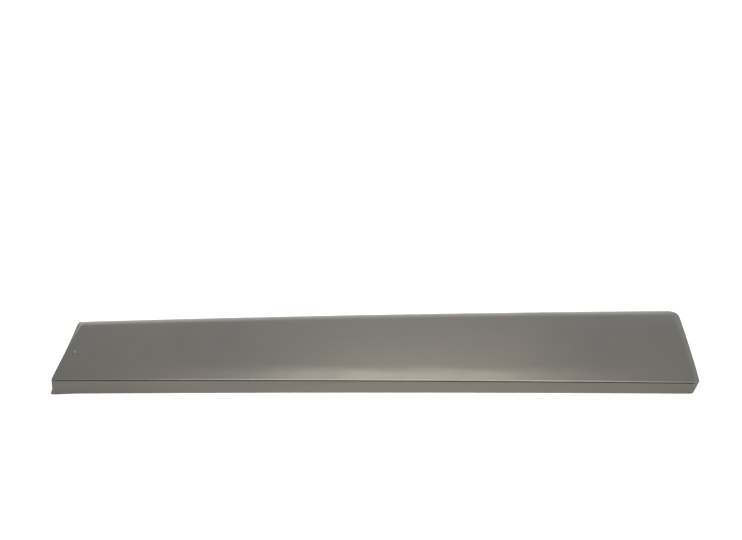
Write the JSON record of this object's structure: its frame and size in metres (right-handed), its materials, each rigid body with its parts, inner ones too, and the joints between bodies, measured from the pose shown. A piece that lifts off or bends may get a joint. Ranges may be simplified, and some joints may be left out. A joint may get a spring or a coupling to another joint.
{
  "type": "vehicle side trim moulding",
  "caption": "Wide tapering protective trim moulding for a vehicle's side, with a rolled top edge, a shadow groove, a lower lip and clip seats on its hollow back.",
  "frame": {"origin": "middle of the footprint, on the level that the hollow back lies on", "axes": "+X along the length towards the deeper square end, +Y from the lip to the rolled top edge, +Z out of the face"},
  "size_m": [0.9812, 0.1778, 0.0356],
  "materials": {
    "moulded_plastic": "fine moulded grain with a satin sheen"
  },
  "bodies": {
    "root": {"side_trim_moulding": "moulded_plastic"}
  },
  "joints": []
}
